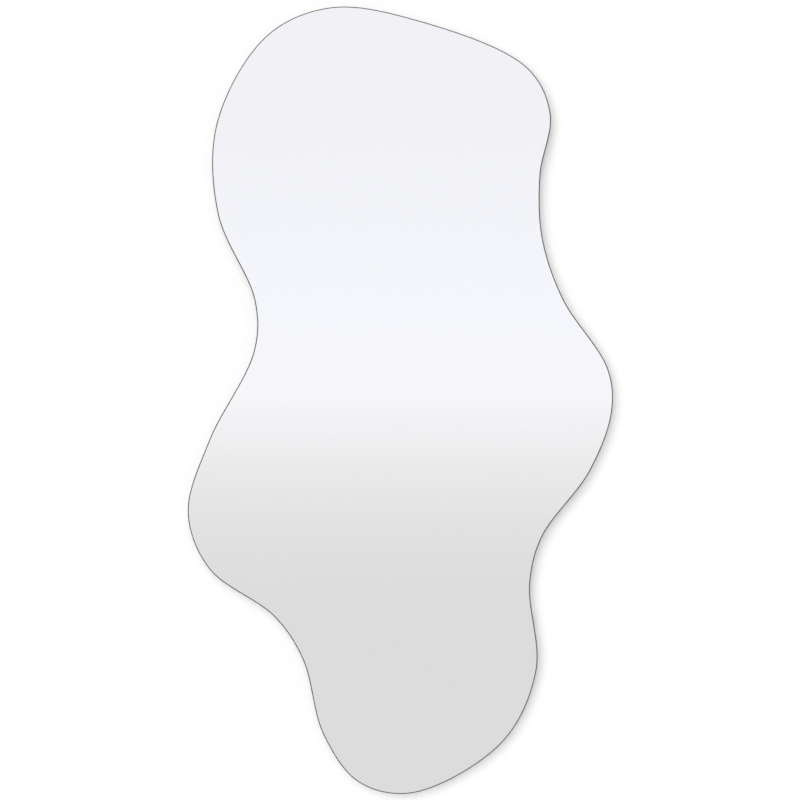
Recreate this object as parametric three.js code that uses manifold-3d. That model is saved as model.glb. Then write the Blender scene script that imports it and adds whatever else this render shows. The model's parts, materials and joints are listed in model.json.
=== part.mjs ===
// Frameless wall mirror of free-form outline, with its bonded backing board and hangers.
// Millimetres. X is to the right, Z is up and Y runs from the viewer to the wall, so the
// glass faces -Y. The origin is on the wall, midway between the two hooks that the upper
// rings hang on, with the middle of the mirror's weight straight below it.
import * as THREE from 'three';
import { mergeVertices } from 'three/addons/utils/BufferGeometryUtils.js';
import Module from 'manifold-3d';

const wasm = await Module();
wasm.setup();

// Mirror glass
const mirrorWidth = 540;
const mirrorHeight = 1000;
const glassThickness = 4;
const arrisWidth = 1.5; // ground flat at 45 degrees, front and back

// Safety film behind the silvering
const filmThickness = 0.3;
const filmInset = 2; // glass outline to film edge

// Foam tape between film and board
const tapeThickness = 1;
const tapeWidth = 25;
const tapeRows = 8;
const tapeMargin = 16; // board's sides to the ends of a row
const tapeRowMargin = 41; // board's top and foot to the middle of the outer rows

// Backing board
const boardThickness = 9;
const boardInset = 14; // glass outline to board edge
const boardChamfer = 2; // round the back

// Ring and the strap that is folded round it
const wireDiameter = 3;
const ringReach = 20; // hinge axis to the middle of the crown's wire
const ringBend = 3; // bend radius at the ends of the straight bar, to the wire's middle
const ringGap = 0.4; // between the wire's two ends, inside the eye
const runningGap = 0.3; // round the wire in the eye, and under the ring where it rests
const strapWidth = 16;
const strapGauge = 1.2; // sheet thickness of one ply
const strapSideGap = 0.5; // strap edge to the start of the ring's bend
const foldLength = 9; // hinge axis to where the two plies meet
const screwSpacing = 18;
const strapEndMargin = 8; // last screw to strap end

// Wood screws
const screwDiameter = 3.5;
const screwHeadDiameter = 7;
const screwHeadHeight = 2.2;
const screwHeadEdge = 0.8; // upright part of the head's rim
const screwTipLength = 3;
const screwHeadGap = 0.5; // head to the strap's fold
const screwTipMargin = 1.2; // board left in front of the tip
const holeGap = 0.3; // round each screw, in the strap and in the board
const recessLength = 4;
const recessWidth = 1;
const recessDepth = 1.3;

// Where the hangers sit
const portraitDrop = 250; // top of the glass to the upper hinge axes
const portraitMargin = 39; // board edge to the upper hangers' middle lines
const landscapeSpan = 240; // between the side hangers' middle lines
const landscapeMargin = 54; // board edge to the side hinge axes

// Rubber bumpers, tall enough to keep the hangers off the wall
const wallClearance = 1;
const bumperDiameter = 12;
const bumperFaceDiameter = 9;
const bumperRim = 1.5; // upright part at the board
const bumperMargin = 12; // board edge to bumper
const bumperDrop = 90; // top of the glass to the upper pair
const bumperRise = 90; // foot of the glass to the lower pair

// Facets
const outlineSteps = 240;
const arcLengthSteps = 2400;
const wireSides = 5; // half the sides of the round wire
const wireSteps = 44;
const foldSteps = 6;
const turnedSides = 24;
const domeSteps = 3;
const cutMargin = 1; // how far a cutting tool passes the faces that it cuts

// The outline's driving points, x then z from the middle of the glass, clockwise from the
// crest as seen from the front. The lobes bulge out and the waists curve in.
const outlinePoints = [
  [-89, 499], [21, 483], [161, 423], [191, 364], // crest and right shoulder
  [178, 285], [181, 206], [207, 129], // upper right waist
  [264, 40], [269, -14], [241, -90], // right lobe
  [180, -174], [165, -233], // lower right waist
  [173, -343], [130, -434], [15, -499], [-53, -485], [-98, -424], // foot
  [-124, -329], [-160, -275], // lower left waist
  [-243, -214], [-270, -143], [-243, -51], // left lobe
  [-186, 63], [-185, 126], // upper left waist
  [-232, 237], [-233, 353], [-170, 463], // left shoulder
];

const wireRadius = wireDiameter / 2;
const eyeBore = wireRadius + runningGap;
const eyeRadius = eyeBore + strapGauge;
const eyeTop = 2 * eyeRadius;
const plies = 2 * strapGauge;
const ringHalfWidth = strapWidth / 2 + strapSideGap + ringBend;
const ringLean = Math.asin((eyeRadius - eyeBore) / ringReach);
const firstScrew = foldLength + screwHeadGap + screwHeadDiameter / 2;
const screwOffsets = [firstScrew, firstScrew + screwSpacing];
const strapLength = firstScrew + screwSpacing + strapEndMargin;
const screwHole = screwDiameter / 2 + holeGap;
const screwDepth = boardThickness - screwTipMargin;
const hangerHalfWidth = ringHalfWidth + wireRadius;

// Depths, counted back from the wall
const boardBack = -(eyeTop + wallClearance);
const boardFront = boardBack - boardThickness;
const filmBack = boardFront - tapeThickness;
const glassBack = filmBack - filmThickness;
const glassFront = glassBack - glassThickness;

const finishes = {
  silvered: { color: 0xe7eaf0, metalness: 1, roughness: 0.03 },
  film: { color: 0xd5d8da, metalness: 0, roughness: 0.45 },
  foam: { color: 0xf1f0ec, metalness: 0, roughness: 0.9 },
  board: { color: 0xa9865c, metalness: 0, roughness: 0.8 },
  zinc: { color: 0xb4b8bc, metalness: 1, roughness: 0.38 },
  nickel: { color: 0xc6c5c0, metalness: 1, roughness: 0.22 },
  rubber: { color: 0x2c2c2e, metalness: 0, roughness: 0.75 },
};

function piece(name, geometry, finish) {
  const mesh = new THREE.Mesh(geometry, new THREE.MeshStandardMaterial(finishes[finish]));
  mesh.name = name;
  return mesh;
}

function toSolid(geometry) {
  const bare = geometry.clone();
  bare.deleteAttribute('normal');
  bare.deleteAttribute('uv');
  const welded = mergeVertices(bare);
  const corners = welded.index.array;
  const triVerts = [];
  for (let i = 0; i < corners.length; i += 3) {
    const [a, b, c] = corners.slice(i, i + 3);
    if (a !== b && b !== c && c !== a) triVerts.push(a, b, c);
  }
  return new wasm.Manifold(new wasm.Mesh({
    numProp: 3,
    vertProperties: new Float32Array(welded.attributes.position.array),
    triVerts: new Uint32Array(triVerts),
  }));
}

function toGeometry(solid) {
  const mesh = solid.getMesh();
  const welded = new THREE.BufferGeometry();
  welded.setAttribute('position', new THREE.BufferAttribute(mesh.vertProperties, 3));
  welded.setIndex(new THREE.BufferAttribute(mesh.triVerts, 1));
  return faceted(welded);
}

function faceted(geometry) {
  const flat = geometry.toNonIndexed();
  flat.computeVertexNormals();
  return flat;
}

// The glass outline: evenly spaced points on a smooth closed curve through the driving points,
// brought to the exact width and height.
function glassOutline() {
  const points = outlinePoints.map(([x, z]) => new THREE.Vector3(x, z, 0));
  const curve = new THREE.CatmullRomCurve3(points, true, 'centripetal');
  curve.arcLengthDivisions = arcLengthSteps;
  const samples = curve.getSpacedPoints(outlineSteps).slice(1);
  const box = new THREE.Box3().setFromPoints(samples);
  const middle = box.getCenter(new THREE.Vector3());
  const span = box.getSize(new THREE.Vector3());
  return samples.map((point) => new THREE.Vector2(
    (point.x - middle.x) * mirrorWidth / span.x,
    (point.y - middle.y) * mirrorHeight / span.y,
  ));
}

// The outline moved inwards by the same distance everywhere.
function insetOutline(outline, distance) {
  const count = outline.length;
  return outline.map((point, i) => {
    const before = outline[(i + count - 1) % count];
    const after = outline[(i + 1) % count];
    const along = after.clone().sub(before).normalize();
    return new THREE.Vector2(point.x + along.y * distance, point.y - along.x * distance);
  });
}

// The middle of the area inside the outline.
function areaCentre(outline) {
  const centre = new THREE.Vector2();
  let total = 0;
  outline.forEach((a, i) => {
    const b = outline[(i + 1) % outline.length];
    const area = a.cross(b) / 2;
    centre.addScaledVector(a.clone().add(b), area / 3);
    total += area;
  });
  return centre.divideScalar(total);
}

// The innermost reach of the outline's left and right sides between two heights.
function clearSpan(outline, low, high) {
  let left = -Infinity;
  let right = Infinity;
  outline.forEach((a, i) => {
    const b = outline[(i + 1) % outline.length];
    const from = Math.max(low, Math.min(a.y, b.y));
    const to = Math.min(high, Math.max(a.y, b.y));
    if (from > to || a.y === b.y) return;
    for (const level of [from, to]) {
      const x = a.x + (b.x - a.x) * (level - a.y) / (b.y - a.y);
      if (b.y > a.y) left = Math.max(left, x);
      else right = Math.min(right, x);
    }
  });
  return { left, right };
}

// A flat slab lofted through copies of the outline, each with a depth and an inset, from
// front to back, and closed by a flat face at each end.
function slabGeometry(outline, rings) {
  const count = outline.length;
  const positions = [];
  for (const [depth, inset] of rings) {
    for (const point of insetOutline(outline, inset)) positions.push(point.x, depth, point.y);
  }
  const faces = [];
  for (let ring = 1; ring < rings.length; ring++) {
    for (let i = 0; i < count; i++) {
      const next = (i + 1) % count;
      const front = (ring - 1) * count;
      const back = ring * count;
      faces.push(front + i, front + next, back + i);
      faces.push(front + next, back + next, back + i);
    }
  }
  const last = (rings.length - 1) * count;
  for (const [a, b, c] of THREE.ShapeUtils.triangulateShape(outline, [])) {
    faces.push(a, b, c);
    faces.push(last + c, last + b, last + a);
  }
  const slab = new THREE.BufferGeometry();
  slab.setAttribute('position', new THREE.Float32BufferAttribute(positions, 3));
  slab.setIndex(faces);
  return slab;
}

function mirrorGlass(outline) {
  return faceted(slabGeometry(outline, [
    [glassFront, arrisWidth],
    [glassFront + arrisWidth, 0],
    [glassBack - arrisWidth, 0],
    [glassBack, arrisWidth],
  ]));
}

function safetyFilm(outline) {
  return faceted(slabGeometry(outline, [[glassBack, filmInset], [filmBack, filmInset]]));
}

// The board has a chamfer round its back and a blind pilot hole for each screw.
function backingBoard(outline, hangers) {
  let board = toSolid(slabGeometry(outline, [
    [boardFront, boardInset],
    [boardBack - boardChamfer, boardInset],
    [boardBack, boardInset + boardChamfer],
  ]));
  const depth = screwDepth + holeGap + cutMargin;
  for (const hanger of hangers) {
    for (const offset of screwOffsets) {
      const hole = new THREE.CylinderGeometry(screwHole, screwHole, depth, turnedSides);
      hole.translate(0, cutMargin - depth / 2, -offset);
      hole.rotateY(hanger.turn);
      hole.translate(hanger.x, boardBack, hanger.z);
      board = board.subtract(toSolid(hole));
    }
  }
  return toGeometry(board);
}

// A row of foam tape, as long as the board allows at its height.
function foamTape(board, height) {
  const { left, right } = clearSpan(board, height - tapeWidth / 2, height + tapeWidth / 2);
  const length = right - left - 2 * tapeMargin;
  const tape = new THREE.BoxGeometry(length, tapeThickness, tapeWidth);
  return tape.translate((left + right) / 2, boardFront - tapeThickness / 2, height);
}

// Strip folded back on itself round the wire. Its side view gives the eye and the fold, and
// its plan trims it to width and gives the round end and the two screw holes.
function hangerStrap() {
  const side = new THREE.Shape();
  side.moveTo(strapLength, 0);
  side.lineTo(strapLength, plies);
  side.lineTo(foldLength, plies);
  side.bezierCurveTo(foldLength / 2, plies, foldLength / 2, eyeTop, 0, eyeTop);
  side.absarc(0, eyeRadius, eyeRadius, Math.PI / 2, 3 * Math.PI / 2, false);
  const eye = new THREE.Path();
  const eyeRoof = eyeTop - strapGauge;
  eye.moveTo(foldLength, strapGauge);
  eye.bezierCurveTo(foldLength / 2, strapGauge, foldLength / 2, eyeRoof, 0, eyeRoof);
  eye.absarc(0, eyeRadius, eyeBore, Math.PI / 2, 3 * Math.PI / 2, false);
  side.holes.push(eye);
  const folded = new THREE.ExtrudeGeometry(side, {
    depth: strapWidth + 2 * cutMargin, bevelEnabled: false, curveSegments: foldSteps,
  });
  folded.translate(0, 0, -strapWidth / 2 - cutMargin).rotateY(Math.PI / 2);

  const half = strapWidth / 2;
  const plan = new THREE.Shape();
  plan.moveTo(half, eyeRadius + cutMargin);
  plan.lineTo(-half, eyeRadius + cutMargin);
  plan.absarc(0, half - strapLength, half, Math.PI, 2 * Math.PI, false);
  for (const offset of screwOffsets) {
    plan.holes.push(new THREE.Path().absarc(0, -offset, screwHole, 0, 2 * Math.PI, true));
  }
  const height = eyeTop + 2 * cutMargin;
  const blank = new THREE.ExtrudeGeometry(plan, {
    depth: height, bevelEnabled: false, curveSegments: turnedSides / 2,
  });
  blank.rotateX(Math.PI / 2).translate(0, height - cutMargin, 0);
  return toGeometry(toSolid(folded).intersect(toSolid(blank)));
}

// The wire's middle line: half the bar, a bend, a leg, the round crown and back again.
class WireLine extends THREE.Curve {
  constructor() {
    super();
    const straight = ringHalfWidth - ringBend;
    const crown = ringReach - ringHalfWidth;
    const line = new THREE.Path();
    line.moveTo(ringGap / 2, 0);
    line.lineTo(straight, 0);
    line.absarc(straight, ringBend, ringBend, -Math.PI / 2, 0, false);
    line.lineTo(ringHalfWidth, crown);
    line.absarc(0, crown, ringHalfWidth, 0, Math.PI, false);
    line.lineTo(-ringHalfWidth, ringBend);
    line.absarc(-straight, ringBend, ringBend, Math.PI, 3 * Math.PI / 2, false);
    line.lineTo(-ringGap / 2, 0);
    this.line = line;
  }

  getPoint(t, target = new THREE.Vector3()) {
    const point = this.line.getPoint(t);
    return target.set(point.x, 0, point.y);
  }
}

function hangerRing() {
  const section = new THREE.Shape().absarc(0, 0, wireRadius, 0, 2 * Math.PI, false);
  return new THREE.ExtrudeGeometry(section, {
    extrudePath: new WireLine(), steps: wireSteps, curveSegments: wireSides,
  });
}

// Pan head screw, with the underside of its head at height 0 and a cross recess on top.
function woodScrew() {
  const tip = -(plies + screwDepth);
  const shank = screwDiameter / 2;
  const head = screwHeadDiameter / 2;
  const profile = [
    new THREE.Vector2(0, tip),
    new THREE.Vector2(shank, tip + screwTipLength),
    new THREE.Vector2(shank, 0),
    new THREE.Vector2(head, 0),
  ];
  for (let i = 0; i <= domeSteps; i++) {
    const angle = i / domeSteps * Math.PI / 2;
    const rise = (screwHeadHeight - screwHeadEdge) * Math.sin(angle);
    const radius = i === domeSteps ? 0 : head * Math.cos(angle);
    profile.push(new THREE.Vector2(radius, screwHeadEdge + rise));
  }
  const turned = new THREE.LatheGeometry(profile, turnedSides);
  const height = recessDepth + cutMargin;
  const middle = screwHeadHeight - recessDepth + height / 2;
  const across = new THREE.BoxGeometry(recessLength, height, recessWidth);
  const along = new THREE.BoxGeometry(recessWidth, height, recessLength);
  const recess = toSolid(across.translate(0, middle, 0)).add(toSolid(along.translate(0, middle, 0)));
  return toGeometry(toSolid(turned).subtract(recess));
}

function wallBumper() {
  const height = eyeTop + wallClearance;
  const base = bumperDiameter / 2;
  const face = bumperFaceDiameter / 2;
  const profile = [new THREE.Vector2(0, 0), new THREE.Vector2(base, 0)];
  for (let i = 0; i <= domeSteps; i++) {
    const angle = i / domeSteps * Math.PI / 2;
    const radius = face + (base - face) * Math.cos(angle);
    profile.push(new THREE.Vector2(radius, bumperRim + (height - bumperRim) * Math.sin(angle)));
  }
  profile.push(new THREE.Vector2(0, height));
  return new THREE.LatheGeometry(profile, turnedSides);
}

// The upper pair hangs the mirror upright, and the side pair hangs it with its left side up.
// The upper pair is set evenly about the middle of the weight, and so is the side pair.
function hangerPlaces(board, centre) {
  const axisHeight = mirrorHeight / 2 - portraitDrop;
  const upper = clearSpan(board, axisHeight - strapLength, axisHeight + ringReach + wireRadius);
  const reach = Math.min(centre.x - upper.left, upper.right - centre.x) - portraitMargin;
  const levels = [centre.y + landscapeSpan / 2, centre.y - landscapeSpan / 2];
  const edges = levels.map((level) => (
    clearSpan(board, level - hangerHalfWidth, level + hangerHalfWidth).left
  ));
  const side = Math.max(...edges) + landscapeMargin;
  return [
    { name: 'portrait_left', x: centre.x - reach, z: axisHeight, turn: 0 },
    { name: 'portrait_right', x: centre.x + reach, z: axisHeight, turn: 0 },
    { name: 'landscape_upper', x: side, z: levels[0], turn: -Math.PI / 2 },
    { name: 'landscape_lower', x: side, z: levels[1], turn: -Math.PI / 2 },
  ];
}

// Strap, ring and screws, laid out with the ring pointing up and then turned as a whole.
function hanger({ name, x, z, turn }) {
  const group = new THREE.Group();
  group.position.set(x, boardBack, z);
  group.rotation.y = turn;
  group.add(piece(`${name}_strap`, hangerStrap(), 'zinc'));
  const ring = piece(`${name}_ring`, hangerRing(), 'nickel');
  ring.position.y = eyeRadius;
  ring.rotation.x = ringLean;
  group.add(ring);
  screwOffsets.forEach((offset, i) => {
    const screw = piece(`${name}_screw_${i + 1}`, woodScrew(), 'zinc');
    screw.position.set(0, plies, -offset);
    group.add(screw);
  });
  return group;
}

function bumpers(board) {
  const half = bumperDiameter / 2;
  const rows = [['top', mirrorHeight / 2 - bumperDrop], ['foot', bumperRise - mirrorHeight / 2]];
  return rows.flatMap(([row, height]) => {
    const { left, right } = clearSpan(board, height - half, height + half);
    const places = [['left', left + bumperMargin + half], ['right', right - bumperMargin - half]];
    return places.map(([side, x]) => {
      const bumper = piece(`bumper_${row}_${side}`, wallBumper(), 'rubber');
      bumper.position.set(x, boardBack, height);
      return bumper;
    });
  });
}

const outline = glassOutline();
const board = insetOutline(outline, boardInset);
const weightCentre = areaCentre(outline);
const hangers = hangerPlaces(board, weightCentre);

const mirror = new THREE.Group();
mirror.add(piece('mirror_glass', mirrorGlass(outline), 'silvered'));
mirror.add(piece('safety_film', safetyFilm(outline), 'film'));
mirror.add(piece('backing_board', backingBoard(outline, hangers), 'board'));

const boardHeights = board.map((point) => point.y);
const topTape = Math.max(...boardHeights) - tapeRowMargin;
const footTape = Math.min(...boardHeights) + tapeRowMargin;
for (let row = 0; row < tapeRows; row++) {
  const height = THREE.MathUtils.lerp(topTape, footTape, row / (tapeRows - 1));
  mirror.add(piece(`foam_tape_${row + 1}`, foamTape(board, height), 'foam'));
}
mirror.add(...hangers.map(hanger));
mirror.add(...bumpers(board));

// The hooks bear on the inside of the upper rings' crowns.
const bearing = hangers[0].z + (ringReach - wireRadius) * Math.cos(ringLean);
mirror.position.set(-weightCentre.x, 0, -bearing);

export default mirror;
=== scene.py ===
# Studio scene of a frameless free-form wall mirror. Metres, X right, Z up, with the wall at
# Y = 0 behind the mirror. The CAD frame gives every place, and the dictionaries give the sizes
# of the pieces in mm.
import json
import math
import bmesh
import bpy
from mathutils import Matrix, Vector


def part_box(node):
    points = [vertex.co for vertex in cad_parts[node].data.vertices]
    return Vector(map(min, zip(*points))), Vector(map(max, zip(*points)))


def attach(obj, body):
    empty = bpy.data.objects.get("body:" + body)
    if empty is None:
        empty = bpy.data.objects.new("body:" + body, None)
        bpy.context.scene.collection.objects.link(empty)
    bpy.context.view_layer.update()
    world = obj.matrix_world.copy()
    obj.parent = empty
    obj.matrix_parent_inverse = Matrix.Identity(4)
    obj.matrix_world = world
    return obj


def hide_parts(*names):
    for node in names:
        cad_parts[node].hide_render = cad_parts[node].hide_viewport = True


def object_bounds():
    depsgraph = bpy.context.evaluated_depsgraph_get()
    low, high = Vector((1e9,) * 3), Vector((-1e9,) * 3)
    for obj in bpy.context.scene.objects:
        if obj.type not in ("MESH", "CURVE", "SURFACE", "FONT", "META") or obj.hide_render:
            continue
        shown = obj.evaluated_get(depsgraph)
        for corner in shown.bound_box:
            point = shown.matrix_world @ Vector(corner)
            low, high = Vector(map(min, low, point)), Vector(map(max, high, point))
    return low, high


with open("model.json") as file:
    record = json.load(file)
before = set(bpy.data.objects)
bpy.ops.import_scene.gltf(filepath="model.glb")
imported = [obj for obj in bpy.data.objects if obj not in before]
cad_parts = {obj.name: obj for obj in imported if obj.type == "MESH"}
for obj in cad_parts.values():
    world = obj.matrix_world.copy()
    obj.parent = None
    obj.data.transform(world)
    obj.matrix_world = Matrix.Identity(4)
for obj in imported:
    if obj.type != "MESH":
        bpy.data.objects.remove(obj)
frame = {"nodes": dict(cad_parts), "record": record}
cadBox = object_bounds()
mm = 0.001
weld = 0.002  # mm, points closer than this are one
slack = 0.05  # mm, more than a rounding error
xAxis, yAxis, zAxis = Vector((1, 0, 0)), Vector((0, 1, 0)), Vector((0, 0, 1))
quarterTurn, halfTurn, fullTurn = math.radians(90), math.radians(180), math.radians(360)
print("frame loaded:", len(frame["nodes"]), "nodes")


def linear(code):  # sRGB hex to the linear colour that Blender works in
    channels = [int(code[i:i + 2], 16) / 255 for i in (1, 3, 5)]
    return [c / 12.92 if c <= 0.04045 else ((c + 0.055) / 1.055) ** 2.4 for c in channels] + [1]


def perCell(size):  # texture scale that makes one cell of a pattern this many millimetres
    return 1 / (size * mm)


def addNode(tree, kind, inputs={}, **settings):
    node = tree.nodes.new(kind)
    for name, value in settings.items():
        setattr(node, name, value)
    for name, value in inputs.items():
        if isinstance(value, bpy.types.NodeSocket):
            tree.links.new(value, node.inputs[name])
        else:
            node.inputs[name].default_value = value
    return node


def startMaterial(name):  # a material without nodes, and the piece's coordinates in metres
    material = bpy.data.materials.new(name)
    material.use_nodes = True
    material.node_tree.nodes.clear()
    place = addNode(material.node_tree, "ShaderNodeTexCoord").outputs["Object"]
    return material, material.node_tree, place


# Two tones mixed by a pattern, over a span of its values. Most noise lies from 0.3 to 0.7.
# ColorRamp keeps its colours in its stops, and Mix has them in sockets 6 and 7 and gives the
# result in output 2.
def twoTone(tree, pattern, low, high, span=(0.3, 0.7)):
    ramp = addNode(tree, "ShaderNodeValToRGB", {"Fac": pattern})
    for stop, at, tone in zip(ramp.color_ramp.elements, span, (low, high)):
        stop.position = at
        stop.color = linear(tone)
    return ramp.outputs["Color"]


# The mirror pane

pane = {
    "arris": 1.5, "glintBand": 0.2,  # ground flat at 45 degrees, and the pale band on its inner side, a painted highlight: the glint along the arris's inner edge
    "cuts": 3,  # new points between two of the CAD outline
    "silver": "#f9f9f9", "silverFar": "#f8f8f8", "silverDrift": 240, "silverSpan": (0, 1),
    "smear": 60, "smearRoughness": (0.004, 0.012),
    "glassIor": 1.52,
    # The rim tones are a painted highlight: the pale glint along the arris's inner edge.
    "ground": "#484a4a", "groundDark": "#393b3b", "rim": "#f4f6f6", "glintRimDull": "#e3e8e6",
    "grit": 0.5, "gritRelief": 0.02, "groundRoughness": 0.5,
    "edge": "#86a598", "edgeDeep": "#5f8474", "edgeMottle": 9, "edgeRoughness": 0.12,
    "paint": "#8b9196", "paintPale": "#979da1",
    "orangePeel": 1.6, "peelRelief": 0.03, "paintRoughness": 0.42,
}


def silveredGlass():
    # Silvered float glass: a flat bright metal film under a polished clear sheet. It throws a
    # clean cool reflection, with the faint uneven gloss of a wiped surface.
    material, tree, place = startMaterial("silveredFloatGlass")
    drift = addNode(tree, "ShaderNodeTexNoise",
                    {"Vector": place, "Scale": perCell(pane["silverDrift"]), "Detail": 2})
    smear = addNode(tree, "ShaderNodeTexNoise",
                    {"Vector": place, "Scale": perCell(pane["smear"]), "Detail": 5})
    smoothest, roughest = pane["smearRoughness"]
    gloss = addNode(tree, "ShaderNodeMapRange",
                    {"Value": smear.outputs["Fac"], "To Min": smoothest, "To Max": roughest})
    surface = addNode(tree, "ShaderNodeBsdfPrincipled", {
        "Base Color": twoTone(tree, drift.outputs["Fac"], pane["silverFar"], pane["silver"],
                              pane["silverSpan"]),
        "Metallic": 1, "Roughness": gloss.outputs["Result"],
    })
    addNode(tree, "ShaderNodeOutputMaterial", {"Surface": surface.outputs[0]})
    return material


def groundGlass(name, dark, pale):
    # Glass cut by a fine diamond wheel: a frosted flat, as its scratches scatter the light. It
    # is dark grey where the silvering's edge shows through. Its pale inner rim is a painted
    # highlight, the glint along the arris's edge. The scratches are drawn about five times as
    # coarse as they are, so that they show.
    material, tree, place = startMaterial(name)
    grit = addNode(tree, "ShaderNodeTexNoise",
                   {"Vector": place, "Scale": perCell(pane["grit"]), "Detail": 4})
    bump = addNode(tree, "ShaderNodeBump", {
        "Height": grit.outputs["Fac"], "Distance": pane["gritRelief"] * mm, "Strength": 0.6,
    })
    surface = addNode(tree, "ShaderNodeBsdfPrincipled", {
        "Base Color": twoTone(tree, grit.outputs["Fac"], dark, pale),
        "Roughness": pane["groundRoughness"], "IOR": pane["glassIor"],
        "Normal": bump.outputs["Normal"],
    })
    addNode(tree, "ShaderNodeOutputMaterial", {"Surface": surface.outputs[0]})
    return material


def polishedEdge():
    # Float glass seen through its polished edge: iron in the sheet gives it a sea green depth.
    material, tree, place = startMaterial("polishedGlassEdge")
    depth = addNode(tree, "ShaderNodeTexNoise",
                    {"Vector": place, "Scale": perCell(pane["edgeMottle"]), "Detail": 3})
    surface = addNode(tree, "ShaderNodeBsdfPrincipled", {
        "Base Color": twoTone(tree, depth.outputs["Fac"], pane["edgeDeep"], pane["edge"]),
        "Roughness": pane["edgeRoughness"], "IOR": pane["glassIor"],
    })
    addNode(tree, "ShaderNodeOutputMaterial", {"Surface": surface.outputs[0]})
    return material


def backingPaint():
    # Baked alkyd mirror paint, curtain coated: an even grey with a slight orange peel.
    material, tree, place = startMaterial("mirrorBackingPaint")
    peel = addNode(tree, "ShaderNodeTexNoise",
                   {"Vector": place, "Scale": perCell(pane["orangePeel"]), "Detail": 2})
    bump = addNode(tree, "ShaderNodeBump", {
        "Height": peel.outputs["Fac"], "Distance": pane["peelRelief"] * mm, "Strength": 0.5,
    })
    surface = addNode(tree, "ShaderNodeBsdfPrincipled", {
        "Base Color": twoTone(tree, peel.outputs["Fac"], pane["paint"], pane["paintPale"]),
        "Roughness": pane["paintRoughness"], "Normal": bump.outputs["Normal"],
    })
    addNode(tree, "ShaderNodeOutputMaterial", {"Surface": surface.outputs[0]})
    return material


def mergedCopy(node):  # a CAD node's loose triangles as one closed mesh
    bm = bmesh.new()
    bm.from_mesh(frame["nodes"][node].data)
    bmesh.ops.remove_doubles(bm, verts=bm.verts, dist=weld * mm)
    return bm


crispAngle = math.radians(35)
fewCorners = 8  # a face with more is a whole end of a piece
slant = Vector((1, 1.7, 2.9))


# Turns a finished bmesh into a piece. Edges past the crisp angle stay crisp, and a face of many
# corners keeps its own normal, so that it stays flat to the eye. The order that spin leaves
# changes from run to run, so everything is put in order along the slant.
def finishPiece(name, bm, materials, body, replaced):
    for edge in bm.edges:
        edge.smooth = edge.calc_face_angle(0) < crispAngle
    for face in bm.faces:
        face.smooth = len(face.verts) <= fewCorners
    bm.verts.sort(key=lambda v: v.co.dot(slant))
    bm.edges.sort(key=lambda e: (e.verts[0].co + e.verts[1].co).dot(slant))
    bm.faces.sort(key=lambda f: f.calc_center_median().dot(slant))
    mesh = bpy.data.meshes.new(name)
    bm.to_mesh(mesh)
    bm.free()
    for material in materials:
        mesh.materials.append(material)
    piece = bpy.data.objects.new(name, mesh)
    bpy.context.scene.collection.objects.link(piece)
    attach(piece, body)
    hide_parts(replaced)
    return piece


def isSide(face):  # of a slab, square to the wall
    return abs(face.normal.y) < 0.01


def isBroad(face):  # the front or back of a slab
    return abs(face.normal.y) > 0.99


def isSlanting(edge):  # neither along the outline nor square to it
    span = edge.verts[1].co - edge.verts[0].co
    return min(abs(span.y), span.xz.length) > slack * mm


# A slab with the outline of a CAD slab, made round between its points. The side of a merged
# copy is kept, without the walls of screw holes, which start further back. It is cut finer
# along its curves, closed by flat faces and brought back to the CAD size. frontFlats and
# backFlats are the widths of its flats at 45 degrees, from the side inwards.
def roundSlab(node, frontFlats=(), backFlats=()):
    low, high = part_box(node)
    middle = (low + high) / 2
    bm = mergedCopy(node)
    sideStart = low.y + (sum(frontFlats) + slack) * mm
    others = [f for f in bm.faces
              if not isSide(f) or min(v.co.y for v in f.verts) > sideStart]
    bmesh.ops.delete(bm, geom=others, context="FACES")
    bmesh.ops.dissolve_edges(bm, edges=[e for e in bm.edges if isSlanting(e)])
    bm.normal_update()
    rims = [e for e in bm.edges if e.is_boundary]
    bmesh.ops.subdivide_edges(bm, edges=rims, cuts=pane["cuts"], smooth=1,
                              smooth_falloff="LINEAR", use_grid_fill=True)
    rims = [e for e in bm.edges if e.is_boundary]
    bmesh.ops.edgeloop_fill(bm, edges=rims)
    bmesh.ops.recalc_face_normals(bm, faces=bm.faces)
    for way, flats in ((-1, frontFlats), (1, backFlats)):
        for flat in flats:
            end = [f for f in bm.faces if isBroad(f) and f.normal.y * way > 0]
            bmesh.ops.inset_region(bm, faces=end, thickness=flat * mm, depth=flat * mm,
                                   use_boundary=True, use_even_offset=True)
    corners = [v.co.copy() for v in bm.verts]
    lowest, highest = [Vector(map(pick, zip(*corners))) for pick in (min, max)]
    fit = Vector(((high.x - low.x) / (highest.x - lowest.x), 1,
                  (high.z - low.z) / (highest.z - lowest.z)))
    bmesh.ops.translate(bm, vec=middle - (lowest + highest) / 2, verts=bm.verts)
    bmesh.ops.scale(bm, vec=fit, space=Matrix.Translation(-middle), verts=bm.verts)
    return bm


def makePane():
    bm = roundSlab("mirror_glass", (pane["arris"] - pane["glintBand"], pane["glintBand"]),
                   (pane["arris"],))
    glintBandEnd = cadBox[0].y + pane["glintBand"] * mm
    materials = [
        silveredGlass(),
        groundGlass("groundGlassArris", pane["groundDark"], pane["ground"]),
        polishedEdge(),
        backingPaint(),
        # the pale inner band of the arris: a painted highlight along its edge
        groundGlass("paintedGlintArrisRim", pane["glintRimDull"], pane["rim"]),
    ]
    front, arris, side, back, glintBand = range(len(materials))
    for face in bm.faces:
        if isSide(face):
            face.material_index = side
        elif isBroad(face):
            face.material_index = front if face.normal.y < 0 else back
        else:
            face.material_index = glintBand if face.calc_center_median().y < glintBandEnd else arris
    finishPiece("mirrorPane", bm, materials, "mirror", "mirror_glass")


makePane()
print("mirror pane made")

# The safety film glued to the back of the pane

film = {
    "tone": "#d5d8da", "thread": "#c3c8cb", "threadSpacing": 3, "threadSpan": (0.8, 1),
    "wrinkle": 30, "relief": 0.08, "roughness": 0.45,
}


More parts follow.
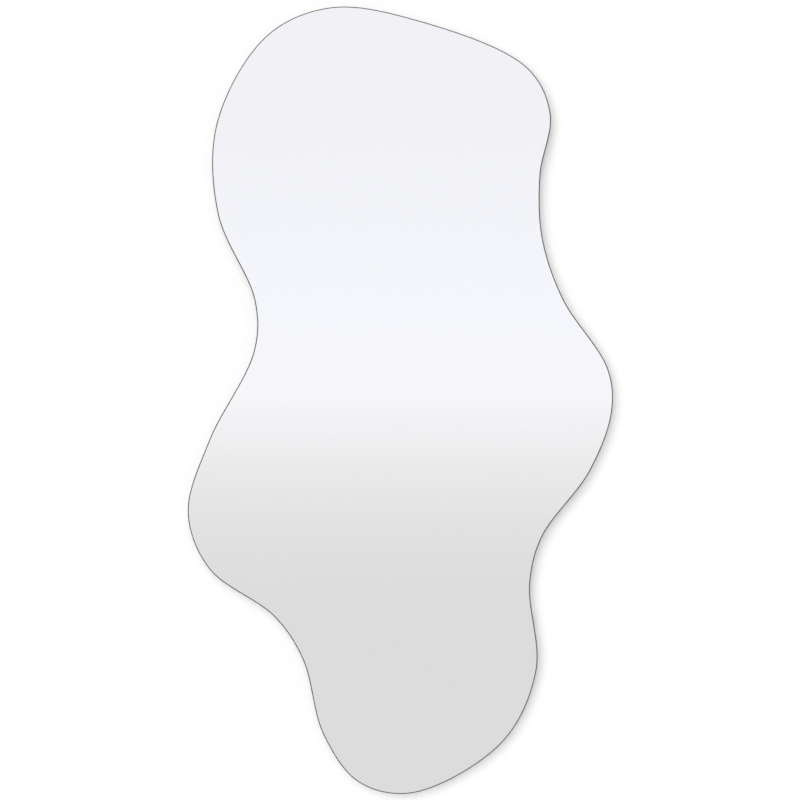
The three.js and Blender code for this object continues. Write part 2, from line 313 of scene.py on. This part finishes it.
def safetyFilm():
    # Blown polyethylene film over a woven scrim: pale, slightly waxy, with a small square
    # grid of threads showing through and long soft wrinkles from the glue.
    material, tree, place = startMaterial("polyethyleneSafetyFilm")
    waves = perCell(film["threadSpacing"]) * math.pi / 10  # Wave has 20 / (2 pi) bands a unit
    up = addNode(tree, "ShaderNodeTexWave", {"Vector": place, "Scale": waves},
                 bands_direction="Z")
    across = addNode(tree, "ShaderNodeTexWave", {"Vector": place, "Scale": waves},
                     bands_direction="X")
    grid = addNode(tree, "ShaderNodeMath", {0: up.outputs["Fac"], 1: across.outputs["Fac"]},
                   operation="MAXIMUM")
    wrinkle = addNode(tree, "ShaderNodeTexNoise", {
        "Vector": place, "Scale": perCell(film["wrinkle"]), "Detail": 3, "Distortion": 1,
    })
    relief = addNode(tree, "ShaderNodeMath", {0: grid.outputs[0], 1: wrinkle.outputs["Fac"]},
                     operation="ADD")
    bump = addNode(tree, "ShaderNodeBump", {
        "Height": relief.outputs[0], "Distance": film["relief"] * mm, "Strength": 0.5,
    })
    surface = addNode(tree, "ShaderNodeBsdfPrincipled", {
        "Base Color": twoTone(tree, grid.outputs[0], film["tone"], film["thread"],
                              film["threadSpan"]),
        "Roughness": film["roughness"], "Normal": bump.outputs["Normal"],
    })
    addNode(tree, "ShaderNodeOutputMaterial", {"Surface": surface.outputs[0]})
    return material


finishPiece("safetyFilmSheet", roundSlab("safety_film"), [safetyFilm()], "mirror",
            "safety_film")
print("safety film made")

# The backing board

board = {
    "chamfer": 2, "softened": 0.35, "crease": 30,  # edges past this many degrees are softened
    "face": "#a88558", "facePale": "#c3a57b", "faceRelief": 0.05, "faceRoughness": 0.72,
    "edge": "#9a794f", "edgeDark": "#775938", "edgeRelief": 0.2, "edgeRoughness": 0.85,
    "fibreLength": 4.5, "fibreWidth": 0.8,
    "fibreTurns": (20, 85, 140),  # fibres lie every way, and three ways in degrees stand for all
    "cloud": 60, "cloudShare": 0.3, "toneSpan": (0.58, 0.93),
    "fleck": "#735536", "fleckSpacing": 9, "fleckTurn": 55, "fleckShade": 0.75,
    "fleckRarity": 0.55, "fleckCore": 0.15, "fleckReach": (0.16, 0.28), "fleckRagged": 0.35,
}


def boardMaterial(name, dark, pale, relief, roughness):
    # Sanded MDF: pressed wood fibre with a smooth tan face, mottled and flecked with darker
    # bundles. Its cut edge is browner and rougher, as the loose core shows there. The bundles
    # are drawn about three times as coarse as they are, so that they show.
    material, tree, place = startMaterial(name)
    length, width = board["fibreLength"] * mm, board["fibreWidth"] * mm
    fibres = []
    for turn in board["fibreTurns"]:
        laid = addNode(tree, "ShaderNodeMapping", {
            "Vector": place, "Rotation": (0, math.radians(turn), 0),
            "Scale": (length, width, width),
        }, vector_type="TEXTURE")
        fibres.append(addNode(tree, "ShaderNodeTexNoise", {
            "Vector": laid.outputs["Vector"], "Scale": 1, "Detail": 4, "Roughness": 0.6,
            "Distortion": 0.3,
        }).outputs["Fac"])
    upper = addNode(tree, "ShaderNodeMath", {0: fibres[0], 1: fibres[1]}, operation="MAXIMUM")
    mat = addNode(tree, "ShaderNodeMath", {0: upper.outputs[0], 1: fibres[2]},
                  operation="MAXIMUM")
    cloud = addNode(tree, "ShaderNodeTexNoise", {
        "Vector": place, "Scale": perCell(board["cloud"]), "Detail": 5, "Roughness": 0.6,
    })
    depth = addNode(tree, "ShaderNodeMath", {
        0: cloud.outputs["Fac"], 1: board["cloudShare"], 2: mat.outputs[0],
    }, operation="MULTIPLY_ADD")

    # Flecks: a long dark spot in some cells, half as wide, with an outline ragged by fibres.
    spacing = board["fleckSpacing"] * mm
    smallest, largest = board["fleckReach"]
    laid = addNode(tree, "ShaderNodeMapping", {
        "Vector": place, "Rotation": (0, math.radians(board["fleckTurn"]), 0),
        "Scale": (spacing, spacing / 2, spacing / 2),
    }, vector_type="TEXTURE")
    cell = addNode(tree, "ShaderNodeTexVoronoi", {"Vector": laid.outputs["Vector"], "Scale": 1})
    ragged = addNode(tree, "ShaderNodeMath", {
        0: fibres[1], 1: board["fleckRagged"], 2: cell.outputs["Distance"],
    }, operation="MULTIPLY_ADD")
    draw = addNode(tree, "ShaderNodeSeparateColor", {"Color": cell.outputs["Color"]})
    reach = addNode(tree, "ShaderNodeMapRange", {
        "Value": draw.outputs["Red"], "From Min": board["fleckRarity"],
        "To Min": smallest, "To Max": largest,
    })
    spots = addNode(tree, "ShaderNodeMapRange", {
        "Value": ragged.outputs[0],
        "From Min": board["fleckCore"], "From Max": reach.outputs["Result"],
        "To Min": board["fleckShade"], "To Max": 0,
    })
    tone = addNode(tree, "ShaderNodeMix", {
        0: spots.outputs["Result"], 7: linear(board["fleck"]),
        6: twoTone(tree, depth.outputs[0], dark, pale, board["toneSpan"]),
    }, data_type="RGBA")
    bump = addNode(tree, "ShaderNodeBump",
                   {"Height": mat.outputs[0], "Distance": relief * mm, "Strength": 0.6})
    surface = addNode(tree, "ShaderNodeBsdfPrincipled", {
        "Base Color": tone.outputs[2], "Roughness": roughness, "Normal": bump.outputs["Normal"],
    })
    addNode(tree, "ShaderNodeOutputMaterial", {"Surface": surface.outputs[0]})
    return material


def makeBoard():
    bm = roundSlab("backing_board", (), (board["chamfer"],))
    worked = [e for e in bm.edges if e.calc_face_angle() > math.radians(board["crease"])]
    bmesh.ops.bevel(bm, geom=worked, offset=board["softened"] * mm, segments=2, profile=0.5,
                    affect="EDGES", material=-1)
    materials = [
        boardMaterial("sandedMdfFace", board["face"], board["facePale"],
                      board["faceRelief"], board["faceRoughness"]),
        boardMaterial("cutMdfEdge", board["edgeDark"], board["edge"],
                      board["edgeRelief"], board["edgeRoughness"]),
    ]
    sanded, cut = range(len(materials))
    for face in bm.faces:
        face.material_index = sanded if isBroad(face) else cut
    finishPiece("mdfBoard", bm, materials, "mirror", "backing_board")


makeBoard()
print("backing board made")

# The foam tape between film and board keeps its CAD shape.

foam = {
    # the darker tone is a painted shade in the hollow of each bubble
    "tone": "#f1f0ec", "paintedBubbleShade": "#dfddd6", "cell": 1.2, "cellSpan": (0, 0.5),
    "relief": 0.15, "roughness": 0.9,
}


def foamTape():
    # Closed cell polyethylene foam: matt white with tiny bubbles, drawn about three times as
    # large as they are so that they show. The hollow of each bubble is painted darker, a painted
    # shade.
    material, tree, place = startMaterial("polyethyleneFoam")
    cells = addNode(tree, "ShaderNodeTexVoronoi",
                    {"Vector": place, "Scale": perCell(foam["cell"])})
    bump = addNode(tree, "ShaderNodeBump", {
        "Height": cells.outputs["Distance"], "Distance": foam["relief"] * mm, "Strength": 0.7,
    })
    # the bubble hollows, lowest in the bump, get the darker tone: painted shade
    surface = addNode(tree, "ShaderNodeBsdfPrincipled", {
        "Base Color": twoTone(tree, cells.outputs["Distance"], foam["paintedBubbleShade"], foam["tone"],
                              foam["cellSpan"]),
        "Roughness": foam["roughness"], "Normal": bump.outputs["Normal"],
    })
    addNode(tree, "ShaderNodeOutputMaterial", {"Surface": surface.outputs[0]})
    return material


foamMaterial = foamTape()
for name, node in frame["nodes"].items():
    if name.startswith("foam_tape"):
        for materialSlot in node.material_slots:
            materialSlot.material = foamMaterial
print("foam tape finished")

# The four hangers. Each is made in mm about its hinge, X across, Y from the board to the wall
# and Z the way that its ring points, and then turned and set in place.

hanger = {
    "wire": 3, "reach": 20, "halfWidth": 11.5, "bend": 3, "gap": 0.4,
    "wireSides": 24, "bendSteps": 8, "crownSteps": 32,
    "gauge": 1.2, "width": 16, "length": 39,
    "eye": 3, "fold": 9,  # the eye's outer radius, and how long the S behind it is
    "softened": 0.25, "crease": 50,  # edges past this many degrees are softened
    "eyeSteps": 16, "foldSteps": 6, "endSides": 32,
    "zinc": "#a9afb5", "zincPale": "#c1c6ca", "rollStreak": 1.5, "rollLength": 25,
    "stripRoughness": (0.26, 0.42), "screwRoughness": (0.2, 0.34),
    "nickel": "#bdbbb4", "nickelPale": "#cfcdc7", "drawStreak": 2.5,
    "wireRoughness": (0.14, 0.24), "relief": 0.01,
}


def platedMetal(name, dark, pale, streak, roughness):
    material, tree, place = startMaterial(name)
    drawn = addNode(tree, "ShaderNodeMapping", {"Vector": place, "Scale": streak})
    lines = addNode(tree, "ShaderNodeTexNoise", {
        "Vector": drawn.outputs["Vector"], "Scale": 1, "Detail": 5, "Roughness": 0.65,
    })
    smoothest, roughest = roughness
    gloss = addNode(tree, "ShaderNodeMapRange", {
        "Value": lines.outputs["Fac"], "From Min": 0.3, "From Max": 0.7,
        "To Min": smoothest, "To Max": roughest,
    })
    bump = addNode(tree, "ShaderNodeBump", {
        "Height": lines.outputs["Fac"], "Distance": hanger["relief"] * mm, "Strength": 0.4,
    })
    surface = addNode(tree, "ShaderNodeBsdfPrincipled", {
        "Base Color": twoTone(tree, lines.outputs["Fac"], dark, pale),
        "Metallic": 1, "Roughness": gloss.outputs["Result"], "Normal": bump.outputs["Normal"],
    })
    addNode(tree, "ShaderNodeOutputMaterial", {"Surface": surface.outputs[0]})
    return material


# Bright zinc on pressed strip: a cool satin silver with short streaks along the strip from
# rolling, drawn wider than they are so that they show. Nickel on drawn wire is warmer, smoother
# and glossier.
zinc = (hanger["zinc"], hanger["zincPale"])
nickel = (hanger["nickel"], hanger["nickelPale"])
fine, long = perCell(hanger["rollStreak"]), perCell(hanger["rollLength"])
zincUpright = platedMetal("zincPlatedStripUpright", *zinc, (fine, fine, long),
                          hanger["stripRoughness"])
zincLevel = platedMetal("zincPlatedStripLevel", *zinc, (long, fine, fine),
                        hanger["stripRoughness"])
zincScrew = platedMetal("zincPlatedScrewSteel", *zinc, (fine, fine, fine),
                        hanger["screwRoughness"])
nickelWire = platedMetal("nickelPlatedWire", *nickel, (perCell(hanger["drawStreak"]),) * 3,
                         hanger["wireRoughness"])


def onlyVerts(geometry):
    return [g for g in geometry if isinstance(g, bmesh.types.BMVert)]


def edgesAmong(verts):  # the edges that run between these points and no others
    found = set(verts)
    edges = [e for v in verts for e in v.link_edges if e.other_vert(v) in found]
    return list(dict.fromkeys(edges))


def extrudeTo(bm, verts, move):  # carries a row or ring of points on in a straight line
    made = onlyVerts(bmesh.ops.extrude_edge_only(bm, edges=edgesAmong(verts))["geom"])
    bmesh.ops.translate(bm, vec=move, verts=made)
    return made


def spinTo(bm, verts, centre, axis, angle, steps):  # carries them on round an axis
    made = bmesh.ops.spin(bm, geom=verts + edgesAmong(verts), cent=centre, axis=axis,
                          angle=angle, steps=steps)
    return onlyVerts(made["geom_last"])


def wireRing():  # half the bar, a bend, a leg, the round crown and back again
    bm = bmesh.new()
    half, bend = hanger["halfWidth"], hanger["bend"]
    bar, crown = half - bend, hanger["reach"] - half
    halfBar = bar - hanger["gap"] / 2
    wireEnd = (Matrix.Translation((hanger["gap"] / 2, 0, 0))
               @ Matrix.Rotation(quarterTurn, 4, "Y"))
    ring = bmesh.ops.create_circle(bm, cap_ends=True, segments=hanger["wireSides"],
                                   radius=hanger["wire"] / 2, matrix=wireEnd)["verts"]
    ring = extrudeTo(bm, ring, (halfBar, 0, 0))
    ring = spinTo(bm, ring, (bar, 0, bend), yAxis, -quarterTurn, hanger["bendSteps"])
    ring = extrudeTo(bm, ring, (0, 0, crown - bend))
    ring = spinTo(bm, ring, (0, 0, crown), yAxis, -halfTurn, hanger["crownSteps"])
    ring = extrudeTo(bm, ring, (0, 0, bend - crown))
    ring = spinTo(bm, ring, (-bar, 0, bend), yAxis, -quarterTurn, hanger["bendSteps"])
    ring = extrudeTo(bm, ring, (halfBar, 0, 0))
    bmesh.ops.edgeloop_fill(bm, edges=edgesAmong(ring))
    lean = math.asin(hanger["gauge"] / hanger["reach"])
    bmesh.ops.rotate(bm, matrix=Matrix.Rotation(lean, 3, "X"), verts=bm.verts)
    return bm


# One strip as a sheet without thickness, through the middle of its gauge: the ply on the
# board, the eye round the wire, an S back down and the ply on top, each with a round end.
def foldedStrip():
    bm = bmesh.new()
    half, gauge = hanger["width"] / 2, hanger["gauge"]
    middle = hanger["eye"] - gauge / 2  # hinge to the middle of the gauge
    topPly = gauge * 1.5 - hanger["eye"]  # the same of the ply that lies on the first
    drop, run, straight = middle - topPly, hanger["fold"], hanger["length"] - half
    curve = (run ** 2 + drop ** 2) / (4 * drop)
    slope = math.asin(run / 2 / curve)
    row = [bm.verts.new((x, -middle, -straight)) for x in (-half, 0, half)]
    for pair in zip(row, row[1:]):
        bm.edges.new(pair)
    row = extrudeTo(bm, row, (0, 0, straight))
    row = spinTo(bm, row, (0, 0, 0), xAxis, -halfTurn, hanger["eyeSteps"])
    row = spinTo(bm, row, (0, middle - curve, 0), xAxis, -slope, hanger["foldSteps"])
    row = spinTo(bm, row, (0, topPly + curve, -run), xAxis, slope, hanger["foldSteps"])
    extrudeTo(bm, row, (0, 0, run - straight))
    for height in (-middle, topPly):
        lying = (Matrix.Translation((0, height, -straight))
                 @ Matrix.Rotation(quarterTurn, 4, "X"))
        disc = bmesh.ops.create_circle(bm, cap_ends=True, cap_tris=True, radius=half,
                                       segments=hanger["endSides"], matrix=lying)["verts"]
        inner = {f for v in disc for f in v.link_faces if f.calc_center_median().z > -straight}
        bmesh.ops.delete(bm, geom=list(inner), context="FACES")
    bmesh.ops.remove_doubles(bm, verts=bm.verts, dist=weld)
    bmesh.ops.recalc_face_normals(bm, faces=bm.faces)
    return bm


def makeHanger(name, joint, upright):
    turn = 0 if upright else -quarterTurn
    place = (Matrix.Translation(joint["pos_m"]) @ Matrix.Rotation(turn, 4, "Y")
             @ Matrix.Scale(mm, 4))
    ring, strip = wireRing(), foldedStrip()
    for bm in (ring, strip):
        bmesh.ops.transform(bm, matrix=place, verts=bm.verts)
    bmesh.ops.recalc_face_normals(ring, faces=ring.faces)
    finishPiece(name + ".wireRing", ring, [nickelWire], joint["child"],
                name + "_ring")
    strap = finishPiece(name + ".foldedStrap", strip, [zincUpright if upright else zincLevel],
                        "mirror", name + "_strap")
    sheet = strap.modifiers.new("gauge", "SOLIDIFY")
    sheet.thickness = hanger["gauge"] * mm
    sheet.offset = 0
    sheet.use_even_offset = True
    edge = strap.modifiers.new("tumbledEdge", "BEVEL")
    edge.width = hanger["softened"] * mm
    edge.segments = 2
    edge.angle_limit = math.radians(hanger["crease"])
    edge.harden_normals = True
    for number in ("1", "2"):
        node = name + "_screw_" + number
        finishPiece(name + ".panScrew" + number, mergedCopy(node), [zincScrew], "mirror",
                    node)


for joint in frame["record"]["behaviour"]["joints"]:
    name = joint["name"].removesuffix("_hinge")
    makeHanger(name, joint, name.startswith("portrait"))
print("hangers made")

# The rubber bumpers

bumper = {
    "width": 12, "faceWidth": 9, "rim": 1.5, "sides": 48, "domeSteps": 10,
    "tone": "#2c2c2e", "bloom": "#3b3b3d", "bloomSpan": (0.35, 0.75),
    "grain": 0.8, "relief": 0.06, "roughness": 0.75,
}


def mouldedRubber():
    # Compression moulded rubber: matt near-black with a faint grey bloom and a fine skin,
    # drawn about three times as coarse as it is so that it shows.
    material, tree, place = startMaterial("mouldedRubber")
    grain = addNode(tree, "ShaderNodeTexNoise",
                    {"Vector": place, "Scale": perCell(bumper["grain"]), "Detail": 4})
    bump = addNode(tree, "ShaderNodeBump", {
        "Height": grain.outputs["Fac"], "Distance": bumper["relief"] * mm, "Strength": 0.6,
    })
    surface = addNode(tree, "ShaderNodeBsdfPrincipled", {
        "Base Color": twoTone(tree, grain.outputs["Fac"], bumper["tone"], bumper["bloom"],
                              bumper["bloomSpan"]),
        "Roughness": bumper["roughness"], "Normal": bump.outputs["Normal"],
    })
    addNode(tree, "ShaderNodeOutputMaterial", {"Surface": surface.outputs[0]})
    return material


def makeBumper(node, material):  # a turned dome: a quarter ellipse spun round the Y axis
    low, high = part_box(node)
    wide, face = bumper["width"] / 2 * mm, bumper["faceWidth"] / 2 * mm
    rim, tall = bumper["rim"] * mm, high.y - low.y
    bm = bmesh.new()
    arc = [bm.verts.new((1, 0, 0))]
    bmesh.ops.spin(bm, geom=arc, cent=(0, 0, 0), axis=zAxis, angle=quarterTurn,
                   steps=bumper["domeSteps"])
    bmesh.ops.scale(bm, vec=(wide - face, tall - rim, 1), verts=bm.verts)
    bmesh.ops.translate(bm, vec=(face, rim, 0), verts=bm.verts)
    top = max(bm.verts, key=lambda v: v.co.y)
    side = max(bm.verts, key=lambda v: v.co.x)
    foot = bm.verts.new((wide, 0, 0))
    bm.edges.new((foot, side))
    bm.edges.new((bm.verts.new((0, 0, 0)), foot))
    bm.edges.new((top, bm.verts.new((0, tall, 0))))
    bmesh.ops.spin(bm, geom=list(bm.verts) + list(bm.edges), cent=(0, 0, 0), axis=yAxis,
                   angle=fullTurn, steps=bumper["sides"], use_merge=True)
    bmesh.ops.remove_doubles(bm, verts=bm.verts, dist=weld * mm)
    bmesh.ops.recalc_face_normals(bm, faces=bm.faces)
    seat = ((low.x + high.x) / 2, low.y, (low.z + high.z) / 2)
    bmesh.ops.translate(bm, vec=seat, verts=bm.verts)
    finishPiece("rubberBumper." + node.removeprefix("bumper_"), bm, [material], "mirror",
                node)


rubber = mouldedRubber()
for name in list(frame["nodes"]):
    if name.startswith("bumper"):
        makeBumper(name, rubber)
print("bumpers made")

# The wall behind and the floor below, in metres. Camera rays get some of their paleness as
# glow, so that the wall is white and keeps the mirror's shadow. From behind they are clear.

room = {
    "width": 12, "wallGap": 0.0002, "floorDrop": 1.3,
    "paint": "#e0e0e0", "wallGlow": 0.255, "floorGlow": 0.5,
}


def roomPaint(name, glow):
    material, tree, _ = startMaterial(name)
    rays = addNode(tree, "ShaderNodeLightPath")
    paint = addNode(tree, "ShaderNodeBsdfDiffuse", {"Color": linear(room["paint"])})
    level = addNode(tree, "ShaderNodeMath", {0: rays.outputs["Is Camera Ray"], 1: glow},
                    operation="MULTIPLY")
    shine = addNode(tree, "ShaderNodeEmission", {"Strength": level.outputs[0]})
    front = addNode(tree, "ShaderNodeAddShader", {0: paint.outputs[0], 1: shine.outputs[0]})
    clear = addNode(tree, "ShaderNodeBsdfTransparent")
    side = addNode(tree, "ShaderNodeNewGeometry")
    both = addNode(tree, "ShaderNodeMixShader",
                   {0: side.outputs["Backfacing"], 1: front.outputs[0], 2: clear.outputs[0]})
    addNode(tree, "ShaderNodeOutputMaterial", {"Surface": both.outputs[0]})
    return material


def roomPlane(name, glow, place):
    bm = bmesh.new()
    bmesh.ops.create_grid(bm, x_segments=1, y_segments=1, size=room["width"] / 2, matrix=place)
    mesh = bpy.data.meshes.new(name)
    bm.to_mesh(mesh)
    bm.free()
    mesh.materials.append(roomPaint(name + "Paint", glow))
    plane = bpy.data.objects.new(name, mesh)
    bpy.context.scene.collection.objects.link(plane)
    plane.visible_glossy = plane.visible_diffuse = plane.visible_shadow = False


behind = Matrix.Translation((0, room["wallGap"], room["width"] / 2 - room["floorDrop"]))
below = Matrix.Translation((0, -room["width"] / 2, -room["floorDrop"]))
roomPlane("wall", room["wallGlow"], behind @ Matrix.Rotation(quarterTurn, 4, "X"))
roomPlane("floor", room["floorGlow"], below)
print("room made")

# Light. The key stands left of the viewer and a little above, broad and soft, as the mirror's
# shadow in the photograph shows. The lamps behind the wall light the hangers for back views.

light = {
    "ambient": 0.36,
    "key": 2.2, "keyFrom": (-0.22, -1, 0.2), "keySpread": 52,
    "rear": 1.75, "rearFrom": (-0.45, 1, 0.55), "rearSpread": 25,
    "rearFill": 0.5, "rearFillFrom": (0.8, 1, 0.1), "rearFillSpread": 60,
}
# What the mirror looks into, by the sine of the elevation: a grey floor that turns softly into
# a bright cool wall at eye level, and how these fall off towards straight down and straight up.
# By the sine towards the right both sides of the room fall off. Past the part that the camera's
# own view mirrors, the level sinks with the distance to the side.
outlook = {
    "level": {
        -0.085: "#dcdcdc", -0.058: "#e0e0e0", -0.0255: "#ebebec", -0.012: "#f1f1f3",
        0.003: "#f7f6fa", 0.04: "#f5f6fb", 0.12: "#f1f1f6",
    },
    "beyond": {-1: "#bdbfc1", -0.2: "#ffffff", 0.2: "#ffffff", 1: "#d3d6dc"},
    "sideways": {
        -1: "#d2d4d8", -0.5: "#f4f5f8", -0.12: "#ffffff",
        0.12: "#ffffff", 0.5: "#ececef", 1: "#bfc1c5",
    },
    "sinkFrom": 0.12, "sinkSlope": 0.34,
    "glow": 1.06,  # makes up for what the silvering takes
}


def sunLamp(name, fromFront):
    data = bpy.data.lights.new(name, "SUN")
    data.energy = light[name]
    data.angle = math.radians(light[name + "Spread"])
    if not fromFront:
        data.cycles.max_bounces = 0  # else its light would leak round to the wall's shadow
    lamp = bpy.data.objects.new(name, data)
    lamp.rotation_euler = Vector(light[name + "From"]).to_track_quat("Z", "Y").to_euler()
    lamp.visible_glossy = not fromFront
    bpy.context.scene.collection.objects.link(lamp)


def bands(tree, sine, tones):  # a ramp through these tones, each at its sine
    low, high = min(tones), max(tones)
    fraction = addNode(tree, "ShaderNodeMapRange",
                       {"Value": sine, "From Min": low, "From Max": high})
    ramp = addNode(tree, "ShaderNodeValToRGB", {"Fac": fraction.outputs["Result"]})
    stops = ramp.color_ramp.elements
    stops.remove(stops[1])
    for at, tone in tones.items():
        stop = stops[0] if at == low else stops.new((at - low) / (high - low))
        stop.color = linear(tone)
    return ramp.outputs["Color"]


def studioWorld():
    world = bpy.data.worlds.new("studio")
    world.use_nodes = True
    tree = world.node_tree
    tree.nodes.clear()
    rays = addNode(tree, "ShaderNodeLightPath").outputs
    aim = addNode(tree, "ShaderNodeTexCoord")
    way = addNode(tree, "ShaderNodeSeparateXYZ", {0: aim.outputs["Generated"]}).outputs
    aside = addNode(tree, "ShaderNodeMath", {0: way["X"]}, operation="ABSOLUTE")
    past = addNode(tree, "ShaderNodeMath", {0: aside.outputs[0], 1: outlook["sinkFrom"]},
                   operation="SUBTRACT", use_clamp=True)
    sunk = addNode(tree, "ShaderNodeMath",
                   {0: past.outputs[0], 1: outlook["sinkSlope"], 2: way["Z"]},
                   operation="MULTIPLY_ADD").outputs[0]
    upright = addNode(tree, "ShaderNodeMix", {
        0: 1, 6: bands(tree, sunk, outlook["level"]), 7: bands(tree, sunk, outlook["beyond"]),
    }, data_type="RGBA", blend_type="MULTIPLY")
    whole = addNode(tree, "ShaderNodeMix", {
        0: 1, 6: upright.outputs[2], 7: bands(tree, way["X"], outlook["sideways"]),
    }, data_type="RGBA", blend_type="MULTIPLY")
    mirrored = addNode(tree, "ShaderNodeBackground",
                       {"Color": whole.outputs[2], "Strength": outlook["glow"]})
    white = linear("#ffffff")
    soft = addNode(tree, "ShaderNodeBackground", {"Color": white, "Strength": light["ambient"]})
    bright = addNode(tree, "ShaderNodeBackground", {"Color": white, "Strength": 1})
    seen = addNode(tree, "ShaderNodeMath",
                   {0: rays["Is Camera Ray"], 1: rays["Is Transmission Ray"]},
                   operation="MAXIMUM")
    objectLight = addNode(tree, "ShaderNodeMixShader",
                          {0: rays["Is Glossy Ray"], 1: soft.outputs[0], 2: mirrored.outputs[0]})
    everything = addNode(tree, "ShaderNodeMixShader",
                         {0: seen.outputs[0], 1: objectLight.outputs[0], 2: bright.outputs[0]})
    addNode(tree, "ShaderNodeOutputWorld", {"Surface": everything.outputs[0]})
    bpy.context.scene.world = world


studioWorld()
sunLamp("key", True)
sunLamp("rear", False)
sunLamp("rearFill", False)
print("light made")

# Camera: square on, with the mirror in the middle of the frame. In metres.

view = {"distance": 3.0, "frameSize": 1.0155, "x": 0.0055, "z": -0.2681}

camera = bpy.data.objects.new("camera", bpy.data.cameras.new("camera"))
bpy.context.scene.collection.objects.link(camera)
camera.location = (view["x"], cadBox[0].y - view["distance"], view["z"])
camera.rotation_euler = (quarterTurn, 0, 0)
camera.data.lens = camera.data.sensor_width * view["distance"] / view["frameSize"]
bpy.context.scene.camera = camera
bpy.context.scene.view_settings.view_transform = "Standard"
print("camera made")
